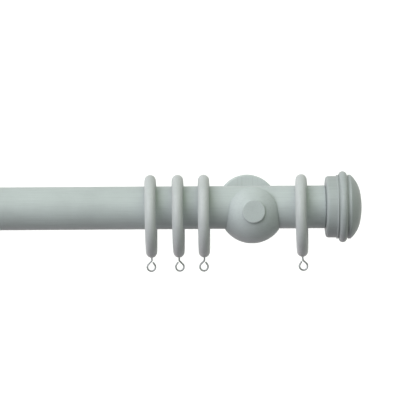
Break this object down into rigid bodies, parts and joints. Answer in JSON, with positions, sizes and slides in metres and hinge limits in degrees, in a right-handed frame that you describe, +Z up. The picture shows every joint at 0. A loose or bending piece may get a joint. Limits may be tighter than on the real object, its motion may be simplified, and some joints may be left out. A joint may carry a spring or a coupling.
{
  "type": "curtain rod with brackets",
  "caption": "Painted wooden curtain pole on open ball-shaped cup brackets with wall roses, turned button finials, and wooden rings with steel screw eyes.",
  "frame": {"origin": "on the wall, midway between the two brackets, at the height of the pole's axis", "axes": "X along the pole, +Y into the wall, +Z up"},
  "size_m": [1.2676, 0.1305, 0.0928],
  "materials": {
    "pole_paint": "satin sage-grey paint on turned wood",
    "ring_paint": "satin sage-grey paint on turned wood",
    "nickel_steel": "bright nickel-plated steel wire",
    "zinc_steel": "zinc-plated steel",
    "brass": "plain machined brass"
  },
  "bodies": {
    "brackets": {"cup_left": "pole_paint", "cup_right": "pole_paint", "cup_button_left": "pole_paint", "cup_button_right": "pole_paint", "cup_screw_left": "zinc_steel", "cup_screw_right": "zinc_steel", "lock_screw_left": "zinc_steel", "lock_screw_right": "zinc_steel", "arm_left": "pole_paint", "arm_right": "pole_paint", "arm_bolt_left": "zinc_steel", "arm_bolt_right": "zinc_steel", "rose_left": "pole_paint", "rose_right": "pole_paint", "rose_insert_left": "brass", "rose_insert_right": "brass"},
    "pole": {"pole": "pole_paint", "pole_insert_left": "brass", "pole_insert_right": "brass"},
    "finial_left": {"finial_left": "pole_paint", "finial_stud_left": "zinc_steel"},
    "finial_right": {"finial_right": "pole_paint", "finial_stud_right": "zinc_steel"},
    "ring_left_1": {"ring_left_1": "ring_paint"},
    "eye_left_1": {"eye_left_1": "nickel_steel"},
    "ring_left_2": {"ring_left_2": "ring_paint"},
    "eye_left_2": {"eye_left_2": "nickel_steel"},
    "ring_left_3": {"ring_left_3": "ring_paint"},
    "eye_left_3": {"eye_left_3": "nickel_steel"},
    "ring_left_4": {"ring_left_4": "ring_paint"},
    "eye_left_4": {"eye_left_4": "nickel_steel"},
    "ring_right_1": {"ring_right_1": "ring_paint"},
    "eye_right_1": {"eye_right_1": "nickel_steel"},
    "ring_right_2": {"ring_right_2": "ring_paint"},
    "eye_right_2": {"eye_right_2": "nickel_steel"},
    "ring_right_3": {"ring_right_3": "ring_paint"},
    "eye_right_3": {"eye_right_3": "nickel_steel"},
    "ring_right_4": {"ring_right_4": "ring_paint"},
    "eye_right_4": {"eye_right_4": "nickel_steel"}
  },
  "joints": [
    {"name": "pole_lift", "type": "slide", "parent": "brackets", "child": "pole", "axis": [0, 0, 1], "range_m": [0, 0.06]},
    {"name": "finial_left_pull", "type": "slide", "parent": "pole", "child": "finial_left", "axis": [-1, 0, 0], "range_m": [0, 0.03]},
    {"name": "finial_right_pull", "type": "slide", "parent": "pole", "child": "finial_right", "axis": [1, 0, 0], "range_m": [0, 0.03]},
    {"name": "ring_left_1_slide", "type": "slide", "parent": "pole", "child": "ring_left_1", "axis": [-1, 0, 0], "range_m": [-0.425, 0.014]},
    {"name": "ring_left_2_slide", "type": "slide", "parent": "pole", "child": "ring_left_2", "axis": [-1, 0, 0], "range_m": [-0.014, 0.012]},
    {"name": "ring_left_3_slide", "type": "slide", "parent": "pole", "child": "ring_left_3", "axis": [-1, 0, 0], "range_m": [-0.012, 0.0225]},
    {"name": "ring_left_4_slide", "type": "slide", "parent": "pole", "child": "ring_left_4", "axis": [-1, 0, 0], "range_m": [-0.0235, 0.0125]},
    {"name": "ring_right_1_slide", "type": "slide", "parent": "pole", "child": "ring_right_1", "axis": [1, 0, 0], "range_m": [-0.425, 0.014]},
    {"name": "ring_right_2_slide", "type": "slide", "parent": "pole", "child": "ring_right_2", "axis": [1, 0, 0], "range_m": [-0.014, 0.012]},
    {"name": "ring_right_3_slide", "type": "slide", "parent": "pole", "child": "ring_right_3", "axis": [1, 0, 0], "range_m": [-0.012, 0.0225]},
    {"name": "ring_right_4_slide", "type": "slide", "parent": "pole", "child": "ring_right_4", "axis": [1, 0, 0], "range_m": [-0.0235, 0.0125]},
    {"name": "eye_left_1_turn", "type": "hinge", "parent": "ring_left_1", "child": "eye_left_1", "pos_m": [-0.43771, -0.09204, -0.0465], "axis": [0.0157, 0.001, 0.9999], "continuous": true},
    {"name": "eye_left_2_turn", "type": "hinge", "parent": "ring_left_2", "child": "eye_left_2", "pos_m": [-0.46327, -0.09204, -0.04649], "axis": [0.0174, 0.0012, 0.9998], "continuous": true},
    {"name": "eye_left_3_turn", "type": "hinge", "parent": "ring_left_3", "child": "eye_left_3", "pos_m": [-0.48687, -0.09202, -0.0465], "axis": [0.007, 0.0004, 1], "continuous": true},
    {"name": "eye_left_4_turn", "type": "hinge", "parent": "ring_left_4", "child": "eye_left_4", "pos_m": [-0.57867, -0.09205, -0.04649], "axis": [0.0174, 0.0014, 0.9998], "continuous": true},
    {"name": "eye_right_1_turn", "type": "hinge", "parent": "ring_right_1", "child": "eye_right_1", "pos_m": [0.43771, -0.09204, -0.0465], "axis": [-0.0157, 0.001, 0.9999], "continuous": true},
    {"name": "eye_right_2_turn", "type": "hinge", "parent": "ring_right_2", "child": "eye_right_2", "pos_m": [0.46327, -0.09204, -0.04649], "axis": [-0.0174, 0.0012, 0.9998], "continuous": true},
    {"name": "eye_right_3_turn", "type": "hinge", "parent": "ring_right_3", "child": "eye_right_3", "pos_m": [0.48687, -0.09202, -0.0465], "axis": [-0.007, 0.0004, 1], "continuous": true},
    {"name": "eye_right_4_turn", "type": "hinge", "parent": "ring_right_4", "child": "eye_right_4", "pos_m": [0.57867, -0.09205, -0.04649], "axis": [-0.0174, 0.0014, 0.9998], "continuous": true}
  ]
}
